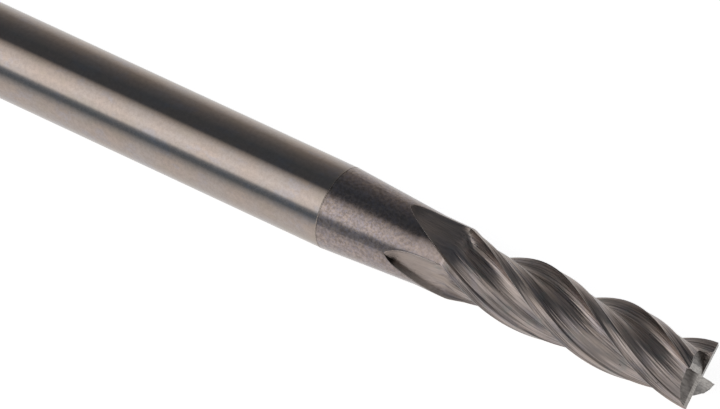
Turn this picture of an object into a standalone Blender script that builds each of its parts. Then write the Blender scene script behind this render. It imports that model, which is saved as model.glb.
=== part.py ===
"""Square-end four-flute end mill, 5 mm cutter on a 6 mm shank.

Frame: the tool lies along +X with its cutting end at +X.  The origin is the
centre of the shank's flat back face.  Metres, +Z up.
"""
import math

import bmesh
import bpy
from mathutils import Matrix, Vector

MM = 0.001

# --- overall sizes, mm ---
LENGTH = 68.0            # back face to cutting corners
SHANK_D = 6.0
CUTTER_D = 5.0
NECK_D = 5.1
X_BRAZE = 38.6           # where the carbide head meets the steel shank
BRAZE_T = 0.04           # thickness of the braze film
GAP = 0.01               # free gap between touching pieces
X_CONE_END = 46.0        # cone runs from the braze to here
SHANK_CHAMFER = 0.5
RING_BREAK = 0.06        # broken edge on both sides of the braze

# --- helix and flutes ---
LEAD = 28.0              # mm per turn, right-hand
TEETH = 4
TIP_PHASE = 129.8        # deg, angle of one tooth's corner about X at the tip
X_RUNOUT = 43.9          # where the flutes have run out on the cone
X_FULL = 48.3            # from here to the tip the flutes are full and follow the helix
X_LAND_FULL = 57.0       # from here to the tip the relief has its full width
X_FLAT = 48.5            # middle of the change from flat run-out floor to hollow flute
STEP_DOWN = 1.3          # length over which the land drops from neck to cutting diameter

# --- flute section, angles in deg behind the cutting edge, radii in mm ---
MARGIN_A = 5.0
MARGIN_R = 2.41
HEEL_A = 20.0
HEEL_R = 2.32
FOOT_R = 2.20            # the heel ends in a small step down to here
STEP_A = 1.5
NECK_HEEL_A = 11.0       # the land is narrower where the flutes start
NECK_HEEL_R = 2.37
BACK_A = 38.0
BACK_R = 1.90
ROOT_A = 76.0
CORE_R = 1.50
HOOK = 8.0
ROOT_REACH = 0.24        # length of the curve's handle at the root
RAKE_REACH = 0.75        # and at the cutting edge

# --- run-out of the flutes on the cone, angles in deg, lengths in mm ---
WALL = 0.40              # height of the heel's wall
FLOOR_SAG = 0.05         # hollow of the nearly flat floor
FLOOR_BACK = 0.35        # share of the floor's width where its hollow starts
FLOOR_ROOT = 0.80        # and where it ends
FRONT_SWING = 8.0        # the floor's front edge closes in by this much
FRONT_TIP = 11.5         # and by this much more at its very start
BACK_SWING = 52.0        # the wall closes in by this much
BACK_TIP = 7.0           # and by this much more at its very start
TIP_SHARE = 0.15         # share of the run-out where floor and wall come up to the cone

# --- end teeth ---
DISH = 1.5               # deg, centre lower than the corners
END_RELIEF = 9.0         # deg, behind each end edge
END_LAND = 0.45          # width of that relief
END_CLEARANCE = 24.0     # deg, behind it
GASH_DEPTH = 0.27        # at the centre
GASH_ANGLE = 28.0        # deg, fall of the gash towards the rim
GASH_OPEN = 48.0         # deg, opening of the gash
GASH_RAKE = 4.0          # deg, lean of the gash under the end edge
SKIM = 0.012             # the gash takes this much off the front of each tooth
OVER = 0.6               # the blank's extra length before its end is ground

# --- mesh steps ---
LAND_N = 8
MARGIN_N = 2
BACK_N = 3
ROOT_N = 4
RAKE_N = 4
SHANK_N = 72


def polar(angle, radius):
    a = math.radians(angle)
    return Vector((radius * math.cos(a), radius * math.sin(a)))


def bezier(p0, p1, p2, p3, count):
    points = []
    for i in range(count + 1):
        t = i / count
        s = 1.0 - t
        points.append(p0 * s ** 3 + p1 * (3 * s * s * t) + p2 * (3 * s * t * t) + p3 * t ** 3)
    return points


def mix(a, b, t):
    return a + (b - a) * t


def body_radius(x):
    t = min((x - X_BRAZE) / (X_CONE_END - X_BRAZE), 1.0)
    return mix(SHANK_D, NECK_D, t) / 2


def twist(x):
    """Angle of the cutting edge at x: the wheel leaves without following the helix."""
    return TIP_PHASE + 360.0 * (max(x, X_FULL) - LENGTH) / LEAD


def ease(value, low, high):
    t = min(max((value - low) / (high - low), 0.0), 1.0)
    return t * t * (3.0 - 2.0 * t)


def land(x):
    """From the cutting edge back to the top of the heel."""
    if x >= X_FULL:
        t = min((x - X_FULL) / (X_LAND_FULL - X_FULL), 1.0)
        drop = ease(x, X_FULL, X_FULL + STEP_DOWN)
        edge = polar(0.0, mix(NECK_D, CUTTER_D, drop) / 2)
        margin_r = mix(NECK_D / 2, mix(CUTTER_D / 2, MARGIN_R, mix(0.5, 1.0, t)), drop)
        heel_r = mix(NECK_D / 2, mix(NECK_HEEL_R, HEEL_R, t), drop)
        heel_a = mix(NECK_HEEL_A, HEEL_A, t)
        points = [mix(edge, polar(-MARGIN_A, margin_r), i / MARGIN_N) for i in range(MARGIN_N)]
        for i in range(LAND_N - MARGIN_N + 1):
            share = i / (LAND_N - MARGIN_N)
            points.append(polar(-mix(MARGIN_A, heel_a, share), mix(margin_r, heel_r, share)))
        return points
    t = min((X_FULL - x) / (X_FULL - X_RUNOUT), 1.0)
    start = FRONT_SWING * t ** 2 + FRONT_TIP * t ** 6
    stop = -NECK_HEEL_A - BACK_SWING * t - BACK_TIP * t ** 10
    radius = body_radius(x)
    return [polar(mix(start, stop, i / LAND_N), radius) for i in range(LAND_N + 1)]


def flute(x, heel, edge):
    """From the top of the heel down the flute and up the next tooth's rake face."""
    heel_a = math.degrees(math.atan2(heel.y, heel.x))
    back = polar(-BACK_A, BACK_R)
    root = polar(-ROOT_A, CORE_R)
    t = max(min((X_FULL - x) / (X_FULL - X_RUNOUT), 1.0), 0.0)
    if x >= X_FULL:
        share = min((x - X_FULL) / (X_LAND_FULL - X_FULL), 1.0)
        foot = polar(heel_a - STEP_A, mix(body_radius(x) - WALL, FOOT_R, share))
    else:
        foot = polar(heel_a - STEP_A, body_radius(x) - WALL * (1.0 - t ** 12))
    flat = 1.0 - ease(x, X_FLAT - 1.0, X_FLAT + 1.0)
    sag = polar(heel_a, -FLOOR_SAG * (1.0 - t ** 6))
    back = mix(back, mix(foot, edge, FLOOR_BACK) + sag, flat)
    root = mix(root, mix(foot, edge, FLOOR_ROOT) + sag, flat)
    fall = (back - foot).normalized()
    along = mix(polar(-ROOT_A - 90.0, 1.0), (edge - foot).normalized(), flat)
    hook = polar(90.0 + HOOK, 1.0)
    inward = mix(hook * RAKE_REACH, (root - edge) * 0.3, flat)
    reach = mix(ROOT_REACH, (edge - root).length * 0.3, flat)
    span = (root - back).length
    points = [mix(foot, back, i / BACK_N) for i in range(BACK_N)]
    points += bezier(back, back + fall * span * 0.25, root - along * span * 0.4, root, ROOT_N)[:-1]
    points += bezier(root, root + along * reach, edge + inward, edge, RAKE_N)[:-1]
    if x < X_FULL:
        radius = body_radius(x)
        swell = max(t - 1.0 + TIP_SHARE, 0.0) / TIP_SHARE
        points = [p.normalized() * mix(min(p.length, radius), radius, swell ** 2) for p in points]
    return points


def tooth_section(x):
    """One quarter of the outline at x: the land, then the flute behind it."""
    top = land(x)
    next_edge = Vector((top[0].y, -top[0].x))
    return top + flute(x, top[-1], next_edge)


def ring(bm, x):
    verts = []
    for k in range(TEETH):
        turn = math.radians(twist(x) + 90.0 * k)
        for p in reversed(tooth_section(x)):
            y = p.x * math.cos(turn) - p.y * math.sin(turn)
            z = p.x * math.sin(turn) + p.y * math.cos(turn)
            verts.append(bm.verts.new((x * MM, y * MM, z * MM)))
    return verts


def bridge(bm, a, b):
    n = len(a)
    for i in range(n):
        j = (i + 1) % n
        bm.faces.new((a[i], a[j], b[j], b[i]))


def cap(bm, loop, x, flip):
    centre = bm.verts.new((x * MM, 0.0, 0.0))
    n = len(loop)
    for i in range(n):
        j = (i + 1) % n
        bm.faces.new((loop[j], loop[i], centre) if flip else (loop[i], loop[j], centre))


def material(name, colour, metallic, roughness):
    mat = bpy.data.materials.new(name)
    mat.use_nodes = True
    shader = mat.node_tree.nodes["Principled BSDF"]
    shader.inputs["Base Color"].default_value = (*colour, 1.0)
    shader.inputs["Metallic"].default_value = metallic
    shader.inputs["Roughness"].default_value = roughness
    return mat


def add_object(name, bm, mat=None):
    bmesh.ops.recalc_face_normals(bm, faces=bm.faces)
    mesh = bpy.data.meshes.new(name)
    bm.to_mesh(mesh)
    bm.free()
    if mat:
        mesh.materials.append(mat)
        for face in mesh.polygons:
            face.use_smooth = True
        mesh.set_sharp_from_angle(angle=math.radians(24))
    obj = bpy.data.objects.new(name, mesh)
    bpy.context.scene.collection.objects.link(obj)
    return obj


def turned(name, profile, mat):
    """Solid of revolution about X from (x, radius) pairs in mm."""
    bm = bmesh.new()
    loops = []
    for x, radius in profile:
        loop = []
        for i in range(SHANK_N):
            a = math.tau * i / SHANK_N
            loop.append(bm.verts.new((x * MM, radius * math.cos(a) * MM, radius * math.sin(a) * MM)))
        loops.append(loop)
    for a, b in zip(loops, loops[1:]):
        bridge(bm, a, b)
    cap(bm, loops[0], profile[0][0], True)
    cap(bm, loops[-1], profile[-1][0], False)
    return add_object(name, bm, mat)


def stations():
    """Places along X where the head's outline is worked out."""
    start = X_BRAZE + BRAZE_T + GAP
    xs = [start + RING_BREAK, 41.3, X_RUNOUT - 0.12]
    xs += [X_RUNOUT + step for step in (0.0, 0.06, 0.15, 0.3, 0.55, 0.9, 1.3, 1.7)]
    xs += [mix(X_CONE_END, X_FULL - 0.12, i / 5) for i in range(6)]
    xs += [X_FULL]
    stop = LENGTH + OVER
    count = math.ceil((stop - X_FULL) / 0.6)
    xs += [mix(X_FULL, stop, i / count) for i in range(1, count + 1)]
    return xs


def tip_point(height, radius, behind):
    """A point in a tooth's own frame at the tip, mm in, metres out."""
    return Vector((LENGTH + height, radius, -behind)) * MM


def relief_cutter():
    """Everything in front of the four dished and relieved end faces."""
    half = CUTTER_D / 2
    far = half + 1.0
    top = OVER + 1.0
    inner = -half * math.tan(math.radians(DISH))
    outer = (far - half) * math.tan(math.radians(DISH))
    drop = END_LAND * math.tan(math.radians(END_RELIEF))
    deep = drop + (far - END_LAND) * math.tan(math.radians(END_CLEARANCE))
    bm = bmesh.new()
    centre = bm.verts.new(tip_point(inner, 0.0, 0.0))
    rows = []
    for k in range(TEETH):
        turn = Matrix.Rotation(math.radians(TIP_PHASE + 90.0 * k), 3, "X")
        places = (
            (outer, far, 0.0),
            (outer - drop, far, END_LAND),
            (inner - drop, 0.0, END_LAND),
            (outer - deep, far, far),
            (inner - deep, 0.0, far),
            (top, far, 0.0),
            (top, far, far),
        )
        rows.append([bm.verts.new(turn @ tip_point(*place)) for place in places])
    for k in range(TEETH):
        edge, land_out, land_in, corner, under, edge_top, corner_top = rows[k]
        next_edge, next_top = rows[k - 1][0], rows[k - 1][5]
        bm.faces.new((centre, edge, land_out, land_in))
        bm.faces.new((land_in, land_out, corner, under))
        bm.faces.new((centre, land_in, next_edge))
        bm.faces.new((land_in, under, next_edge))
        bm.faces.new((edge, edge_top, corner_top, land_out))
        bm.faces.new((land_out, corner_top, corner))
        bm.faces.new((corner, corner_top, next_top, next_edge, under))
    bm.faces.new([v for k in range(TEETH) for v in (rows[-k][5], rows[-k][6])])
    return add_object("end_relief", bm)


def gash_cutter(name, k):
    """Wedge that opens one end gash in front of tooth k."""
    fall = math.tan(math.radians(GASH_ANGLE))
    wide = math.tan(math.radians(GASH_OPEN))
    lean = math.tan(math.radians(GASH_RAKE))
    turn = Matrix.Rotation(math.radians(TIP_PHASE + 90.0 * k), 3, "X")
    top = 1.2
    bm = bmesh.new()
    sections = []
    for radius in (-0.05, 3.4):
        depth = GASH_DEPTH + max(radius, 0.0) * fall
        places = (
            (-depth, radius, SKIM + depth * lean),
            (top, radius, SKIM - top * lean),
            (top, radius, SKIM + depth * lean - (depth + top) * wide),
        )
        sections.append([bm.verts.new(turn @ tip_point(*place)) for place in places])
    a, b = sections
    for i in range(3):
        j = (i + 1) % 3
        bm.faces.new((a[i], a[j], b[j], b[i]))
    bm.faces.new(a)
    bm.faces.new(b)
    return add_object(name, bm)


def cutting_head(mat):
    bm = bmesh.new()
    start = X_BRAZE + BRAZE_T + GAP
    loops = [ring(bm, x) for x in stations()]
    shrink = (SHANK_D / 2 - RING_BREAK) / body_radius(start + RING_BREAK)
    back = [bm.verts.new((start * MM, v.co.y * shrink, v.co.z * shrink)) for v in loops[0]]
    loops.insert(0, back)
    for a, b in zip(loops, loops[1:]):
        bridge(bm, a, b)
    cap(bm, loops[0], start, True)
    bm.faces.new(loops[-1])
    head = add_object("cutting_head", bm, mat)
    cutters = [relief_cutter()] + [gash_cutter(f"gash_{k}", k) for k in range(TEETH)]
    for cutter in cutters:
        cutter.hide_render = True
        cutter.display_type = "WIRE"
        cut = head.modifiers.new(cutter.name, "BOOLEAN")
        cut.operation = "DIFFERENCE"
        cut.solver = "EXACT"
        cut.object = cutter
    return head


for old in list(bpy.data.objects):
    bpy.data.objects.remove(old, do_unlink=True)

steel = material("coated_steel", (0.42, 0.38, 0.36), 1.0, 0.25)
filler = material("silver_braze", (0.62, 0.58, 0.48), 1.0, 0.35)
carbide = material("coated_carbide", (0.27, 0.24, 0.23), 1.0, 0.35)

half = SHANK_D / 2
shank_end = X_BRAZE - GAP
turned(
    "shank",
    (
        (0.0, half - SHANK_CHAMFER),
        (SHANK_CHAMFER, half),
        (shank_end - RING_BREAK, half),
        (shank_end, half - RING_BREAK),
    ),
    steel,
)
turned(
    "braze_joint",
    ((X_BRAZE, half - RING_BREAK), (X_BRAZE + BRAZE_T, half - RING_BREAK)),
    filler,
)
cutting_head(carbide)
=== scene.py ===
"""Looks of the four-flute end mill: ground, coated steel shank and coated carbide head."""

import math

import bpy
from mathutils import Matrix, Vector


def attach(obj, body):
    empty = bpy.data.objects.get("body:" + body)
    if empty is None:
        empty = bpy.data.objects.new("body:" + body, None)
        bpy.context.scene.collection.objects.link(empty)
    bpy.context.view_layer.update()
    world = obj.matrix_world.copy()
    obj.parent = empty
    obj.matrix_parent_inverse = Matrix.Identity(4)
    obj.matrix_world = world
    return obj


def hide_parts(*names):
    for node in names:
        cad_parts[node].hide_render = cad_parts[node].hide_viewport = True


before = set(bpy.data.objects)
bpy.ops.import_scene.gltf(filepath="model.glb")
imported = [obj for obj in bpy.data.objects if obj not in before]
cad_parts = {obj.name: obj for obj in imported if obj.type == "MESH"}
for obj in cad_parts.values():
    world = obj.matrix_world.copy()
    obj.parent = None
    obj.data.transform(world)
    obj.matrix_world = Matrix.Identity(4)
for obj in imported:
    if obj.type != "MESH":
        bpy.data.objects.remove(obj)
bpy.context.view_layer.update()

MM = 0.001

# The tool's sizes as the CAD model has them: lengths and radii in mm, angles in degrees.
LENGTH = 68.0            # back face to cutting corners
SHANK_D = 6.0
CUTTER_D = 5.0
NECK_D = 5.1
X_BRAZE = 38.6           # where the carbide head meets the steel shank
BRAZE_T = 0.04           # thickness of the braze film
GAP = 0.01               # free gap between touching pieces
X_CONE_END = 46.0        # cone runs from the braze to here
SHANK_CHAMFER = 0.5

LEAD = 28.0              # per turn, right-hand
TEETH = 4
TIP_PHASE = 129.8        # angle of one tooth's corner about X at the tip
X_RUNOUT = 43.9          # where the flutes have run out on the cone
X_FULL = 48.3            # from here to the tip the flutes are full and follow the helix
X_LAND_FULL = 57.0       # from here to the tip the relief has its full width
X_FLAT = 48.5            # middle of the change from flat run-out floor to hollow flute
STEP_DOWN = 1.3          # length over which the land drops from neck to cutting diameter

# Flute section, angles behind the cutting edge.
MARGIN_A = 5.0
MARGIN_R = 2.41
HEEL_A = 20.0
HEEL_R = 2.32
FOOT_R = 2.20            # the heel ends in a small step down to here
STEP_A = 1.5
NECK_HEEL_A = 11.0       # the land is narrower where the flutes start
NECK_HEEL_R = 2.37
BACK_A = 38.0
BACK_R = 1.90
ROOT_A = 76.0
CORE_R = 1.50
HOOK = 8.0
ROOT_REACH = 0.24        # length of the curve's handle at the root
RAKE_REACH = 0.75        # and at the cutting edge

# Run-out of the flutes on the cone.
WALL = 0.40              # height of the heel's wall
FLOOR_SAG = 0.05         # hollow of the nearly flat floor
FLOOR_BACK = 0.35        # share of the floor's width where its hollow starts
FLOOR_ROOT = 0.80        # and where it ends
FRONT_SWING = 8.0        # the floor's front edge closes in by this much
FRONT_TIP = 11.5         # and by this much more at its very start
BACK_SWING = 52.0        # the wall closes in by this much
BACK_TIP = 7.0           # and by this much more at its very start
TIP_SHARE = 0.15         # share of the run-out where floor and wall come up to the cone

# End teeth.
DISH = 1.5               # centre lower than the corners
END_RELIEF = 9.0         # behind each end edge
END_LAND = 0.45          # width of that relief
END_CLEARANCE = 24.0     # behind it
GASH_DEPTH = 0.27        # at the centre
GASH_ANGLE = 28.0        # fall of the gash towards the rim
GASH_OPEN = 48.0         # opening of the gash
GASH_RAKE = 4.0          # lean of the gash under the end edge
SKIM = 0.012             # the gash takes this much off the front of each tooth
OVER = 0.6               # the blank's extra length before its end is ground

# Finer details than the CAD model's, in mm.
RING_BREAK = 0.02        # broken edges on both sides of the braze
CHAMFER_BREAK = (0.03, 0.04)  # broken edges of the shank's chamfer, short and long side
EDGE_BREAK = 0.012       # rounding of the cutting edges
HEEL_BREAK = 0.07        # rounding of the heels
LEAST_BREAK = 0.002      # rounding left where the flutes start
BREAK_GROWS = 1.2        # length over which these roundings grow to full size
SET_BACK = 0.003         # the tip stays this far inside the CAD model's

LAND_N = 20
MARGIN_N = 4
BACK_N = 8
ROOT_N = 12
RAKE_N = 10
EDGE_N = 2
HEEL_N = 4
START_N = 18             # sections over the first part of the run-out, where its shape changes fast
RUNOUT_N = 40            # sections over the rest of it
FLUTE_N = 150            # sections over the full flutes
BAR_N = 8                # stretches along the shank
TURNED_N = 192           # points round the turned pieces
HEAD_SHARP = 20.0        # edges bent by more than this, in degrees, stay sharp on the head
TURNED_SHARP = 30.0      # and on the turned pieces


# ---------------------------------------------------------------- head's shape

def polar(angle, radius):
    a = math.radians(angle)
    return Vector((radius * math.cos(a), radius * math.sin(a)))


def mix(a, b, t):
    return a + (b - a) * t


def bezier(p0, p1, p2, p3, count):
    points = []
    for i in range(count):
        t = i / count
        s = 1.0 - t
        points.append(p0 * s ** 3 + p1 * (3 * s * s * t) + p2 * (3 * s * t * t) + p3 * t ** 3)
    return points


def body_radius(x):
    t = min((x - X_BRAZE) / (X_CONE_END - X_BRAZE), 1.0)
    return mix(SHANK_D, NECK_D, t) / 2


def twist(x):
    """Angle of the cutting edge at x: the wheel leaves without following the helix."""
    return TIP_PHASE + 360.0 * (max(x, X_FULL) - LENGTH) / LEAD


def ease(value, low, high):
    t = min(max((value - low) / (high - low), 0.0), 1.0)
    return t * t * (3.0 - 2.0 * t)


def land(x):
    """From the cutting edge back to the top of the heel."""
    if x >= X_FULL:
        t = min((x - X_FULL) / (X_LAND_FULL - X_FULL), 1.0)
        drop = ease(x, X_FULL, X_FULL + STEP_DOWN)
        edge = polar(0.0, mix(NECK_D, CUTTER_D, drop) / 2)
        margin_r = mix(NECK_D / 2, mix(CUTTER_D / 2, MARGIN_R, mix(0.5, 1.0, t)), drop)
        heel_r = mix(NECK_D / 2, mix(NECK_HEEL_R, HEEL_R, t), drop)
        heel_a = mix(NECK_HEEL_A, HEEL_A, t)
        points = [mix(edge, polar(-MARGIN_A, margin_r), i / MARGIN_N) for i in range(MARGIN_N)]
        for i in range(LAND_N - MARGIN_N + 1):
            share = i / (LAND_N - MARGIN_N)
            points.append(polar(-mix(MARGIN_A, heel_a, share), mix(margin_r, heel_r, share)))
        return points
    t = min((X_FULL - x) / (X_FULL - X_RUNOUT), 1.0)
    start = FRONT_SWING * t ** 2 + FRONT_TIP * t ** 6
    stop = -NECK_HEEL_A - BACK_SWING * t - BACK_TIP * t ** 10
    radius = body_radius(x)
    return [polar(mix(start, stop, i / LAND_N), radius) for i in range(LAND_N + 1)]


def flute(x, heel, edge):
    """From the top of the heel down the flute and up the next tooth's rake face."""
    heel_a = math.degrees(math.atan2(heel.y, heel.x))
    back = polar(-BACK_A, BACK_R)
    root = polar(-ROOT_A, CORE_R)
    t = max(min((X_FULL - x) / (X_FULL - X_RUNOUT), 1.0), 0.0)
    if x >= X_FULL:
        share = min((x - X_FULL) / (X_LAND_FULL - X_FULL), 1.0)
        foot = polar(heel_a - STEP_A, mix(body_radius(x) - WALL, FOOT_R, share))
    else:
        foot = polar(heel_a - STEP_A, body_radius(x) - WALL * (1.0 - t ** 12))
    flat = 1.0 - ease(x, X_FLAT - 1.0, X_FLAT + 1.0)
    sag = polar(heel_a, -FLOOR_SAG * (1.0 - t ** 6))
    back = mix(back, mix(foot, edge, FLOOR_BACK) + sag, flat)
    root = mix(root, mix(foot, edge, FLOOR_ROOT) + sag, flat)
    fall = (back - foot).normalized()
    along = mix(polar(-ROOT_A - 90.0, 1.0), (edge - foot).normalized(), flat)
    hook = polar(90.0 + HOOK, 1.0)
    inward = mix(hook * RAKE_REACH, (root - edge) * 0.3, flat)
    reach = mix(ROOT_REACH, (edge - root).length * 0.3, flat)
    span = (root - back).length
    points = [mix(foot, back, i / BACK_N) for i in range(BACK_N)]
    points += bezier(back, back + fall * span * 0.25, root - along * span * 0.4, root, ROOT_N)
    points += bezier(root, root + along * reach, edge + inward, edge, RAKE_N)
    if x < X_FULL:
        radius = body_radius(x)
        swell = max(t - 1.0 + TIP_SHARE, 0.0) / TIP_SHARE
        points = [p.normalized() * mix(min(p.length, radius), radius, swell ** 2) for p in points]
    return points


def rounded(before, corner, after, radius, count):
    """The corner point replaced by a short curve."""
    a = corner + (before - corner).normalized() * min(radius, (before - corner).length * 0.9)
    b = corner + (after - corner).normalized() * min(radius, (after - corner).length * 0.9)
    points = []
    for i in range(count + 1):
        t = i / count
        points.append(a * (1 - t) ** 2 + corner * (2 * t * (1 - t)) + b * t * t)
    return points


def section(x):
    """One quarter of the outline at x: the land, then the flute behind it."""
    top = land(x)
    low = flute(x, top[-1], Vector((top[0].y, -top[0].x)))
    rake = Vector((-low[-1].y, low[-1].x))
    grown = ease(x, X_RUNOUT, X_RUNOUT + BREAK_GROWS)
    edge = rounded(rake, top[0], top[1], EDGE_BREAK * grown + LEAST_BREAK, EDGE_N)
    heel = rounded(top[-2], top[-1], low[0], HEEL_BREAK * grown + LEAST_BREAK, HEEL_N)
    return edge + top[1:-1] + heel + low


def ring(x):
    """The whole outline at x, turned to the helix."""
    points = []
    for k in range(TEETH):
        turn = math.radians(twist(x) + 90.0 * k)
        for p in reversed(section(x)):
            y = p.x * math.cos(turn) - p.y * math.sin(turn)
            z = p.x * math.sin(turn) + p.y * math.cos(turn)
            points.append((x, y, z))
    return points


def stations():
    """Places along X where the head's outline is worked out."""
    start = X_BRAZE + BRAZE_T + GAP
    near = X_RUNOUT + BREAK_GROWS
    stop = LENGTH + OVER
    xs = [start + RING_BREAK, 40.0, 41.5, 43.0, X_RUNOUT - 0.1, X_RUNOUT]
    xs += [mix(X_RUNOUT, near, (i / START_N) ** 2) for i in range(1, START_N + 1)]
    xs += [mix(near, X_FULL - 0.05, i / RUNOUT_N) for i in range(1, RUNOUT_N + 1)]
    xs += [X_FULL]
    xs += [mix(X_FULL, stop, i / FLUTE_N) for i in range(1, FLUTE_N + 1)]
    return xs


def add_mesh(name, verts, faces):
    """A mesh object, still in mm."""
    mesh = bpy.data.meshes.new(name)
    mesh.from_pydata(verts, [], faces)
    obj = bpy.data.objects.new(name, mesh)
    bpy.context.scene.collection.objects.link(obj)
    return obj


def finish(obj, angle):
    """Millimetres to metres, and smooth shading up to the given angle."""
    obj.data.transform(Matrix.Scale(MM, 4))
    for face in obj.data.polygons:
        face.use_smooth = True
    obj.data.set_sharp_from_angle(angle=math.radians(angle))


def tip_point(height, radius, behind, k):
    """A point in tooth k's own frame at the tip."""
    turn = Matrix.Rotation(math.radians(TIP_PHASE + 90.0 * k), 3, "X")
    return tuple(turn @ Vector((LENGTH - SET_BACK + height, radius, -behind)))


def relief_cutter():
    """Everything in front of the four dished and relieved end faces."""
    half = CUTTER_D / 2
    far = half + 1.0
    top = OVER + 1.0
    inner = -half * math.tan(math.radians(DISH))
    outer = (far - half) * math.tan(math.radians(DISH))
    drop = END_LAND * math.tan(math.radians(END_RELIEF))
    deep = drop + (far - END_LAND) * math.tan(math.radians(END_CLEARANCE))
    verts = [tip_point(inner, 0.0, 0.0, 0)]
    for k in range(TEETH):
        verts.append(tip_point(outer, far, 0.0, k))
        verts.append(tip_point(outer - drop, far, END_LAND, k))
        verts.append(tip_point(inner - drop, 0.0, END_LAND, k))
        verts.append(tip_point(outer - deep, far, far, k))
        verts.append(tip_point(inner - deep, 0.0, far, k))
        verts.append(tip_point(top, far, 0.0, k))
        verts.append(tip_point(top, far, far, k))
    faces = []
    for k in range(TEETH):
        edge, land_out, land_in, corner, under, edge_top, corner_top = range(1 + 7 * k, 8 + 7 * k)
        last = 1 + 7 * ((k - 1) % TEETH)
        faces.append((0, edge, land_out, land_in))
        faces.append((land_in, land_out, corner, under))
        faces.append((0, land_in, last))
        faces.append((land_in, under, last))
        faces.append((edge, edge_top, corner_top, land_out))
        faces.append((land_out, corner_top, corner))
        faces.append((corner, corner_top, last + 5, last, under))
    faces.append([1 + 7 * (-k % TEETH) + side for k in range(TEETH) for side in (5, 6)])
    return add_mesh("end_relief", verts, faces)


def gash_cutter(k):
    """Wedge that opens one end gash in front of tooth k."""
    fall = math.tan(math.radians(GASH_ANGLE))
    wide = math.tan(math.radians(GASH_OPEN))
    lean = math.tan(math.radians(GASH_RAKE))
    top = 1.2
    verts = []
    for radius in (-0.05, 3.4):
        depth = GASH_DEPTH + max(radius, 0.0) * fall
        verts.append(tip_point(-depth, radius, SKIM + depth * lean, k))
        verts.append(tip_point(top, radius, SKIM - top * lean, k))
        verts.append(tip_point(top, radius, SKIM + depth * lean - (depth + top) * wide, k))
    faces = [(0, 1, 4, 3), (1, 2, 5, 4), (2, 0, 3, 5), (0, 2, 1), (3, 4, 5)]
    return add_mesh(f"gash_{k}", verts, faces)


def cutting_head():
    loops = [ring(x) for x in stations()]
    start = X_BRAZE + BRAZE_T + GAP
    shrink = (SHANK_D / 2 - RING_BREAK) / body_radius(start + RING_BREAK)
    loops.insert(0, [(start, y * shrink, z * shrink) for x, y, z in loops[0]])
    n = len(loops[0])
    verts = [p for loop in loops for p in loop]
    faces = []
    for j in range(len(loops) - 1):
        for i in range(n):
            a = j * n + i
            b = j * n + (i + 1) % n
            faces.append((a, b, b + n, a + n))
    centre = len(verts)
    verts.append((start, 0.0, 0.0))
    faces += [((i + 1) % n, i, centre) for i in range(n)]
    faces.append([(len(loops) - 1) * n + i for i in range(n)])
    head = add_mesh("cutting_head_ground", verts, faces)
    for cutter in [relief_cutter()] + [gash_cutter(k) for k in range(TEETH)]:
        cut = head.modifiers.new(cutter.name, "BOOLEAN")
        cut.operation = "DIFFERENCE"
        cut.solver = "EXACT"
        cut.object = cutter
    bpy.context.view_layer.update()
    depsgraph = bpy.context.evaluated_depsgraph_get()
    finished = bpy.data.meshes.new_from_object(head.evaluated_get(depsgraph))
    for cut in list(head.modifiers):
        bpy.data.objects.remove(cut.object)
        head.modifiers.remove(cut)
    head.data = finished
    finish(head, HEAD_SHARP)
    return head


def turned(name, profile):
    """Solid of revolution about X from (x, radius) pairs in mm."""
    count = TURNED_N
    verts = []
    for x, radius in profile:
        for i in range(count):
            a = math.tau * i / count
            verts.append((x, radius * math.cos(a), radius * math.sin(a)))
    faces = []
    for j in range(len(profile) - 1):
        for i in range(count):
            a = j * count + i
            b = j * count + (i + 1) % count
            faces.append((a, b, b + count, a + count))
    faces.append(list(range(count))[::-1])
    faces.append([(len(profile) - 1) * count + i for i in range(count)])
    obj = add_mesh(name, verts, faces)
    finish(obj, TURNED_SHARP)
    return obj


def shank():
    """The ground bar: its chamfer's two edges and the ring's edge are slightly broken."""
    half = SHANK_D / 2
    stop = X_BRAZE - GAP
    near, far = CHAMFER_BREAK
    profile = [(0.0, half - SHANK_CHAMFER), (near, half - SHANK_CHAMFER + far)]
    profile += [(SHANK_CHAMFER - far, half - near), (SHANK_CHAMFER + near, half)]
    profile += [(stop * i / BAR_N, half) for i in range(1, BAR_N)]
    profile += [(stop - RING_BREAK, half), (stop, half - RING_BREAK)]
    return turned("shank_ground", profile)


def braze():
    """The film of filler metal, ground almost flush with the shank."""
    radius = SHANK_D / 2 - RING_BREAK / 4
    return turned("braze_ground", [(X_BRAZE, radius), (X_BRAZE + BRAZE_T, radius)])


# ---------------------------------------------------------------- materials

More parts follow.
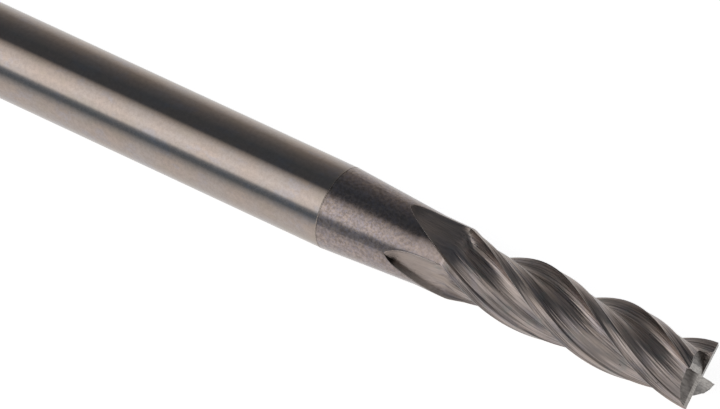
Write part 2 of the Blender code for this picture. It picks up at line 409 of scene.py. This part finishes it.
class Nodes:
    """Short names for making shader nodes."""

    def __init__(self, tree):
        self.tree = tree

    def add(self, kind, **settings):
        node = self.tree.nodes.new(kind)
        for key, value in settings.items():
            setattr(node, key, value)
        return node

    def link(self, source, target):
        if isinstance(source, (int, float, tuple)):
            target.default_value = source
        else:
            self.tree.links.new(source, target)

    def math(self, operation, a, b=0.0, c=0.0, clamp=False):
        node = self.add("ShaderNodeMath", operation=operation, use_clamp=clamp)
        for source, target in zip((a, b, c), node.inputs):
            self.link(source, target)
        return node.outputs[0]

    def vector(self, x, y, z):
        node = self.add("ShaderNodeCombineXYZ")
        for source, target in zip((x, y, z), node.inputs):
            self.link(source, target)
        return node.outputs[0]

    def noise(self, place, scale, detail=2.0, roughness=0.5, distortion=0.0):
        node = self.add("ShaderNodeTexNoise")
        self.link(place, node.inputs["Vector"])
        node.inputs["Scale"].default_value = scale
        node.inputs["Detail"].default_value = detail
        node.inputs["Roughness"].default_value = roughness
        node.inputs["Distortion"].default_value = distortion
        return node.outputs["Fac"]

    def step(self, value, low, high, start=0.0, stop=1.0):
        """Smooth change from start to stop as the value goes from low to high."""
        node = self.add("ShaderNodeMapRange", interpolation_type="SMOOTHSTEP")
        for source, target in zip((value, low, high, start, stop), node.inputs):
            self.link(source, target)
        return node.outputs[0]

    def blend(self, share, a, b):
        """Colour between a and b."""
        node = self.add("ShaderNodeMix", data_type="RGBA", blend_type="MIX")
        self.link(share, node.inputs["Factor"])
        for source, target in ((a, node.inputs[6]), (b, node.inputs[7])):
            self.link(source + (1.0,) if isinstance(source, tuple) else source, target)
        return node.outputs[2]

    def choose(self, share, a, b):
        """Number between a and b."""
        node = self.add("ShaderNodeMix", data_type="FLOAT")
        for source, target in ((share, node.inputs[0]), (a, node.inputs[2]), (b, node.inputs[3])):
            self.link(source, target)
        return node.outputs[0]

    def around(self):
        """Distance from the axis, and y and z turned back with the flutes."""
        square = self.math("MULTIPLY_ADD", self.z, self.z, self.math("MULTIPLY", self.y, self.y))
        radius = self.math("SQRT", square)
        reach = self.math("SUBTRACT", self.math("MAXIMUM", self.x, X_FULL), LENGTH)
        turn = self.math("MULTIPLY_ADD", reach, math.tau / LEAD, math.radians(TIP_PHASE))
        cos = self.math("COSINE", turn)
        sin = self.math("SINE", turn)
        across = self.math("ADD", self.math("MULTIPLY", self.y, cos), self.math("MULTIPLY", self.z, sin))
        up = self.math("SUBTRACT", self.math("MULTIPLY", self.z, cos), self.math("MULTIPLY", self.y, sin))
        return radius, across, up

    def bump(self, height, strength, distance, after=None):
        node = self.add("ShaderNodeBump")
        node.inputs["Strength"].default_value = strength
        node.inputs["Distance"].default_value = distance * MM
        self.link(height, node.inputs["Height"])
        if after is not None:
            self.link(after, node.inputs["Normal"])
        return node.outputs["Normal"]


def surface(name):
    """A new metal material; n.place, n.x, n.y and n.z give the place in mm, n.normal the normal."""
    mat = bpy.data.materials.new(name)
    mat.use_nodes = True
    n = Nodes(mat.node_tree)
    n.mat = mat
    n.shader = mat.node_tree.nodes["Principled BSDF"]
    n.shader.inputs["Metallic"].default_value = 1.0
    where = n.add("ShaderNodeTexCoord")
    scale = n.add("ShaderNodeVectorMath", operation="SCALE")
    scale.inputs["Scale"].default_value = 1.0 / MM
    n.link(where.outputs["Object"], scale.inputs[0])
    n.place = scale.outputs[0]
    n.normal = where.outputs["Normal"]
    split = n.add("ShaderNodeSeparateXYZ")
    n.link(n.place, split.inputs[0])
    n.x, n.y, n.z = split.outputs
    return n


def shank_steel():
    """Finely ground steel under a warm grey coating, with faint blue and tan clouds in it."""
    n = surface("coated_ground_steel")
    cloud = n.noise(n.place, 0.35, 3.0, 0.55)
    grain = n.noise(n.place, 7.0, 3.0, 0.6)
    lines = n.noise(n.vector(n.math("MULTIPLY", n.x, 26.0), n.y, n.z), 0.6, 2.0)
    colour = n.blend(n.step(cloud, 0.35, 0.7), (0.425, 0.350, 0.305), (0.40, 0.352, 0.326))
    haze = n.noise(n.vector(n.math("MULTIPLY", n.x, 0.6), n.y, n.z), 0.9, 3.0, 0.6)
    colour = n.blend(n.step(haze, 0.52, 0.66, 0.0, 0.55), colour, (0.372, 0.350, 0.372))
    colour = n.blend(n.step(haze, 0.46, 0.34, 0.0, 0.45), colour, (0.385, 0.328, 0.270))
    fleck = n.noise(n.place, 3.6, 3.0, 0.65)
    colour = n.blend(n.step(fleck, 0.34, 0.70, 0.0, 0.6), colour, (0.335, 0.282, 0.254))
    n.link(colour, n.shader.inputs["Base Color"])
    n.link(n.step(grain, 0.3, 0.7, 0.09, 0.14), n.shader.inputs["Roughness"])
    normal = n.bump(lines, 0.10, 0.004)
    n.link(n.bump(grain, 0.08, 0.004, normal), n.shader.inputs["Normal"])
    return n.mat


def neck_mask(n, depth, before):
    """1 wherever the surface is still the turned cone or neck, 0 where it is ground."""
    return n.math("MULTIPLY", n.step(depth, 0.030, 0.012), before)


def painted_edge_highlight_mask(n, radius, depth, before):
    """Painted highlights: thin bright lines where the wheel left the neck, and along the cutting edges,
    standing in for the glints of those rounded edges.
    """
    rim = n.math("MULTIPLY", n.step(depth, 0.060, 0.030), n.step(depth, 0.010, 0.020))
    rim = n.math("MULTIPLY", rim, n.math("MULTIPLY", before, n.step(n.x, X_RUNOUT + 0.3, X_RUNOUT + 1.6)))
    edge = n.step(radius, CUTTER_D / 2 - 0.022, CUTTER_D / 2 - 0.008)
    edge = n.math("MULTIPLY", edge, n.step(n.x, X_FULL + 1.0, X_FULL + 2.0))
    return n.math("ADD", n.math("MULTIPLY", rim, 0.35), n.math("MULTIPLY", edge, 0.5))


def neck_colour(n, fine, patch):
    """Brown-grey speckle, with violet patches and a darker tint towards the flutes."""
    speckle = n.blend(n.step(fine, 0.36, 0.66), (0.240, 0.196, 0.178), (0.405, 0.331, 0.296))
    speckle = n.blend(n.step(patch, 0.42, 0.66, 0.0, 0.4), speckle, (0.290, 0.262, 0.284))
    violet = n.noise(n.place, 6.5, 2.0, 0.6)
    speckle = n.blend(n.step(violet, 0.50, 0.64, 0.0, 0.5), speckle, (0.36, 0.325, 0.37))
    return n.blend(n.step(n.x, 42.5, 47.5, 0.0, 0.45), speckle, (0.205, 0.166, 0.150))


def flute_colour(n, streak, patch, across, up):
    """Light and dark grinding lines with tinted streaks, plainer and warmer where the flutes start."""
    tint = n.noise(n.vector(n.math("MULTIPLY", n.x, 0.25), across, up), 1.6, 2.0, 0.6, 0.6)
    ground = n.blend(n.step(streak, 0.40, 0.60), (0.225, 0.190, 0.176), (0.50, 0.425, 0.390))
    ground = n.blend(n.step(tint, 0.52, 0.66, 0.0, 0.45), ground, (0.42, 0.345, 0.295))
    ground = n.blend(n.step(tint, 0.47, 0.36, 0.0, 0.35), ground, (0.31, 0.285, 0.315))
    ground = n.blend(n.step(patch, 0.54, 0.70, 0.0, 0.40), ground, (0.29, 0.30, 0.28))
    early = n.step(n.x, X_FLAT - 0.5, X_FLAT - 2.5, 0.0, 0.6)
    ground = n.blend(early, ground, (0.385, 0.320, 0.285))
    first = n.step(n.x, X_RUNOUT + 1.5, X_RUNOUT + 0.2, 0.0, 0.75)
    return n.blend(first, ground, (0.225, 0.188, 0.170))


def end_colour_and_painted_shade(n, straight, facing, radius):
    """Light and shade painted by which way each end face points: a lighter strip behind each end edge,
    darker clearance, and nearly black painted shade in the gashes and towards the centre.
    """
    # painted shade: the gashes, picked out by how they face, go nearly black
    gash = n.step(facing, 0.85, 0.78)
    strip = n.step(facing, 0.94, 0.97)
    scratch = n.step(straight, 0.36, 0.64)
    # the clearance is painted darker than the strip because it faces away from the light, as painted
    # shade
    clearance = n.blend(scratch, (0.115, 0.105, 0.099), (0.215, 0.198, 0.186))
    # painted shade also darkens the end faces towards the centre
    inner = n.math("MAXIMUM", gash, n.step(radius, 1.8, 0.8, 0.0, 0.75))
    clearance = n.blend(inner, clearance, (0.050, 0.044, 0.041))
    light = n.blend(scratch, (0.27, 0.25, 0.235), (0.40, 0.375, 0.352))
    return n.blend(strip, clearance, light)


def coated_carbide():
    """Ground carbide under a brown-grey coating: speckled neck, streaked flutes, ground end faces with
    painted shade, and painted highlights along the edges.
    """
    n = surface("coated_ground_carbide")
    radius, across, up = n.around()
    cone = n.math("DIVIDE", n.math("SUBTRACT", n.x, X_BRAZE), X_CONE_END - X_BRAZE, clamp=True)
    body = n.math("MULTIPLY_ADD", cone, (NECK_D - SHANK_D) / 2, SHANK_D / 2)
    depth = n.math("SUBTRACT", body, radius)
    before = n.step(n.x, X_FULL + 0.1, X_FULL - 0.1)
    neck = neck_mask(n, depth, before)
    painted_edge_highlight = painted_edge_highlight_mask(n, radius, depth, before)
    fine = n.noise(n.place, 4.2, 3.0, 0.62)
    patch = n.noise(n.place, 1.3, 3.0, 0.6)

    # grinding lines follow the helix, and are faint where the flutes start
    line_place = n.vector(n.math("MULTIPLY", n.x, 0.03), across, up)
    broad = n.noise(line_place, 1.8, 2.0, 0.55)
    lines = n.noise(line_place, 8.0, 2.0, 0.6)
    hair = n.noise(line_place, 15.0, 1.0)
    full = n.step(n.x, X_FLAT - 0.8, X_FLAT + 1.8, 0.3, 1.0)
    streak = n.math("ADD", n.math("MULTIPLY", lines, 0.75), n.math("MULTIPLY", broad, 0.25))
    streak = n.choose(full, 0.5, streak)
    ground = flute_colour(n, streak, patch, across, up)

    # the end faces are known by how far they face along the axis
    split = n.add("ShaderNodeSeparateXYZ")
    n.link(n.normal, split.inputs[0])
    facing = split.outputs[0]
    end = n.step(facing, 0.50, 0.60)
    end_place = n.vector(n.math("MULTIPLY", across, 0.2), up, n.math("MULTIPLY", n.x, 0.2))
    straight = n.noise(end_place, 9.0, 2.0)
    # the end faces take their colour, with its painted light and shade, from here
    ground = n.blend(end, ground, end_colour_and_painted_shade(n, straight, facing, radius))
    streak = n.choose(end, streak, n.math("MULTIPLY", straight, 0.12))
    pits = n.step(n.noise(n.place, 3.1, 2.0, 0.5), 0.745, 0.775)
    ground = n.blend(pits, ground, (0.09, 0.075, 0.07))

    colour = n.blend(neck, ground, neck_colour(n, fine, patch))
    # painted highlights: near-white lines along the neck's rim and the cutting edges, standing in for
    # their glints
    n.link(n.blend(painted_edge_highlight, colour, (0.80, 0.77, 0.74)), n.shader.inputs["Base Color"])
    rough_ground = n.step(streak, 0.35, 0.65, 0.26, 0.36)
    rough_neck = n.step(fine, 0.3, 0.7, 0.15, 0.18)
    rough = n.choose(neck, rough_ground, rough_neck)
    n.link(n.choose(painted_edge_highlight, rough, 0.6), n.shader.inputs["Roughness"])
    relief = n.choose(neck, streak, n.math("MULTIPLY", fine, 0.035))
    normal = n.bump(relief, 1.0, 0.06)
    n.link(n.bump(n.choose(neck, hair, 0.5), 0.7, 0.016, normal), n.shader.inputs["Normal"])
    return n.mat


def braze_filler():
    """Silver braze, a little cloudy."""
    n = surface("silver_braze")
    cloud = n.noise(n.place, 3.0, 3.0, 0.6)
    colour = n.blend(n.step(cloud, 0.35, 0.7), (0.40, 0.34, 0.30), (0.46, 0.40, 0.35))
    n.link(colour, n.shader.inputs["Base Color"])
    n.link(n.step(cloud, 0.3, 0.7, 0.25, 0.4), n.shader.inputs["Roughness"])
    n.link(n.bump(cloud, 0.2, 0.01), n.shader.inputs["Normal"])
    return n.mat


def dress(obj, mat):
    """Gives a piece its only material."""
    obj.data.materials.clear()
    obj.data.materials.append(mat)


head = cutting_head()
dress(head, coated_carbide())
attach(head, "root")
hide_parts("cutting_head")

bar = shank()
dress(bar, shank_steel())
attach(bar, "root")
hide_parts("shank")

film = braze()
dress(film, braze_filler())
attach(film, "root")
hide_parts("braze_joint")


# ---------------------------------------------------------------- stage

# Light from each side of the tool's axis, in degrees: 0 behind it, 90 overhead, 180 in front, -90 below.
ROUND_LIGHT = (
    (-180.0, (0.17, 0.215, 0.27)),
    (-173.0, (0.18, 0.22, 0.26)),
    (-163.0, (0.48, 0.51, 0.54)),
    (-150.0, (0.80, 0.80, 0.80)),
    (-130.0, (0.96, 0.95, 0.95)),
    (-80.0, (0.89, 0.89, 0.89)),
    (-10.0, (0.84, 0.84, 0.84)),
    (4.0, (0.70, 0.70, 0.69)),
    (17.0, (0.48, 0.47, 0.46)),
    (26.0, (0.31, 0.30, 0.29)),
    (50.0, (0.155, 0.16, 0.17)),
    (76.0, (0.088, 0.103, 0.12)),
    (103.0, (0.09, 0.10, 0.115)),
    (110.0, (0.46, 0.45, 0.44)),
    (124.0, (1.02, 1.02, 1.02)),
    (148.0, (1.44, 1.43, 1.42)),
    (164.5, (1.22, 1.25, 1.28)),
    (172.0, (0.33, 0.38, 0.43)),
    (179.5, (0.17, 0.215, 0.27)),
)
FADED = (0.12, 0.125, 0.13)
HORIZON = (0.55, 0.54, 0.53)
GLOW = (1.75, 1.74, 1.72)
BEYOND = (0.11, 0.11, 0.11)


def round_light(n, degrees):
    """ROUND_LIGHT as a colour ramp, read at the given angle."""
    ramp = n.add("ShaderNodeValToRGB")
    n.link(n.math("DIVIDE", n.math("ADD", degrees, 180.0), 360.0), ramp.inputs[0])
    items = ramp.color_ramp.elements
    items.remove(items[-1])
    items[0].position = 0.0
    items[0].color = (*ROUND_LIGHT[0][1], 1.0)
    for place, colour in ROUND_LIGHT[1:]:
        item = items.new((place + 180.0) / 360.0)
        item.color = (*colour, 1.0)
    return ramp.outputs["Color"]


def studio():
    """Soft light that changes round the tool: white below, a bright band in front, dark overhead."""
    world = bpy.data.worlds.new("studio")
    bpy.context.scene.world = world
    world.use_nodes = True
    n = Nodes(world.node_tree)
    where = n.add("ShaderNodeTexCoord")
    split = n.add("ShaderNodeSeparateXYZ")
    n.link(where.outputs["Generated"], split.inputs[0])
    # along is -1 for light from the shank's end and 1 for light from the tip's
    along, back, up = split.outputs
    angle = n.math("MULTIPLY", n.math("ARCTAN2", up, back), 180.0 / math.pi)

    # the band's upper edge waves: up to 7 degrees lower, then 8 degrees higher on the tip's side
    slant = n.math("ADD", n.step(along, -0.45, -0.28, -1.5, 7.0), n.step(along, -0.25, 0.0, 0.0, -15.0))
    share = n.math("MULTIPLY", n.step(angle, 62.0, 104.0), n.step(angle, 160.0, 138.0))
    light = round_light(n, n.math("SUBTRACT", angle, n.math("MULTIPLY", slant, share)))

    # the band's light fades towards the cutting end
    front = n.math("MULTIPLY", n.step(angle, 92.0, 112.0), n.step(angle, 182.0, 168.0))
    fade = n.math("ADD", n.step(along, -0.42, -0.05, 0.0, 0.60), n.step(along, 0.15, 0.40, 0.0, 0.26))
    light = n.blend(n.math("MULTIPLY", fade, front), light, FADED)
    # the dark line at the horizon fades the same way
    for low, high in ((168.0, 174.0), (-160.0, -170.0)):
        line = n.math("MULTIPLY", n.step(angle, low, high), n.step(along, -0.43, -0.28, 0.0, 0.35))
        light = n.blend(line, light, HORIZON)
    # it is brightest towards the shank's end, and ends there
    glow = n.step(along, -0.48, -0.62, 0.0, 0.75)
    for low, high in ((110.0, 128.0), (-138.0, -150.0)):
        light = n.blend(n.math("MULTIPLY", n.step(angle, low, high), glow), light, GLOW)
    end = n.math("MULTIPLY_ADD", back, -0.667, along)
    beyond = n.math("MULTIPLY", n.step(end, -0.41, -0.50), front)
    light = n.blend(beyond, light, BEYOND)
    n.link(light, world.node_tree.nodes["Background"].inputs["Color"])


FLOOR_SIZE = 4000.0      # half its side, mm


def floor():
    """A white sheet under the tool, left out of reflections, which come from the studio's light."""
    z = -SHANK_D / 2
    low, high = -FLOOR_SIZE, FLOOR_SIZE
    corners = [(low, low, z), (high, low, z), (high, high, z), (low, high, z)]
    ground = add_mesh("floor", corners, [(0, 1, 2, 3)])
    finish(ground, TURNED_SHARP)
    mat = bpy.data.materials.new("white_sheet")
    mat.use_nodes = True
    shader = mat.node_tree.nodes["Principled BSDF"]
    shader.inputs["Base Color"].default_value = (0.9, 0.9, 0.9, 1.0)
    shader.inputs["Roughness"].default_value = 0.9
    shader.inputs["Specular IOR Level"].default_value = 0.0
    shader.inputs["Emission Color"].default_value = (1.0, 1.0, 1.0, 1.0)
    shader.inputs["Emission Strength"].default_value = 0.8
    ground.data.materials.append(mat)
    ground.visible_glossy = False


AZIMUTH = 34.7           # direction of view, degrees from +Y about Z
ELEVATION = 42.1         # degrees down from level
TARGET_X = 39.81         # point on the axis that the camera is aimed near, mm
AIM_RIGHT = 0.330        # and how far right of it and above it, in the view, mm
AIM_UP = 0.710
VIEW_WIDTH = 48.64       # width of the view at the tool, mm
LENS = 750.0             # a long lens, so the view is nearly parallel
SENSOR = 36.0


def camera():
    """A distant camera in front of the tool, above it and towards its tip."""
    azimuth = math.radians(AZIMUTH)
    elevation = math.radians(ELEVATION)
    look = Vector((
        -math.sin(azimuth) * math.cos(elevation),
        math.cos(azimuth) * math.cos(elevation),
        -math.sin(elevation),
    ))
    right = Vector((math.cos(azimuth), math.sin(azimuth), 0.0))
    up = right.cross(look)
    target = Vector((TARGET_X, 0.0, 0.0)) + right * AIM_RIGHT + up * AIM_UP
    data = bpy.data.cameras.new("camera")
    data.sensor_width = SENSOR
    data.lens = LENS
    data.clip_start = 0.01
    data.clip_end = 10.0
    shot = bpy.data.objects.new("camera", data)
    bpy.context.scene.collection.objects.link(shot)
    shot.location = (target - look * (VIEW_WIDTH * LENS / SENSOR)) * MM
    shot.rotation_mode = "QUATERNION"
    shot.rotation_quaternion = look.to_track_quat("-Z", "Y")
    bpy.context.scene.camera = shot


studio()
floor()
camera()
bpy.context.scene.view_settings.view_transform = "Standard"
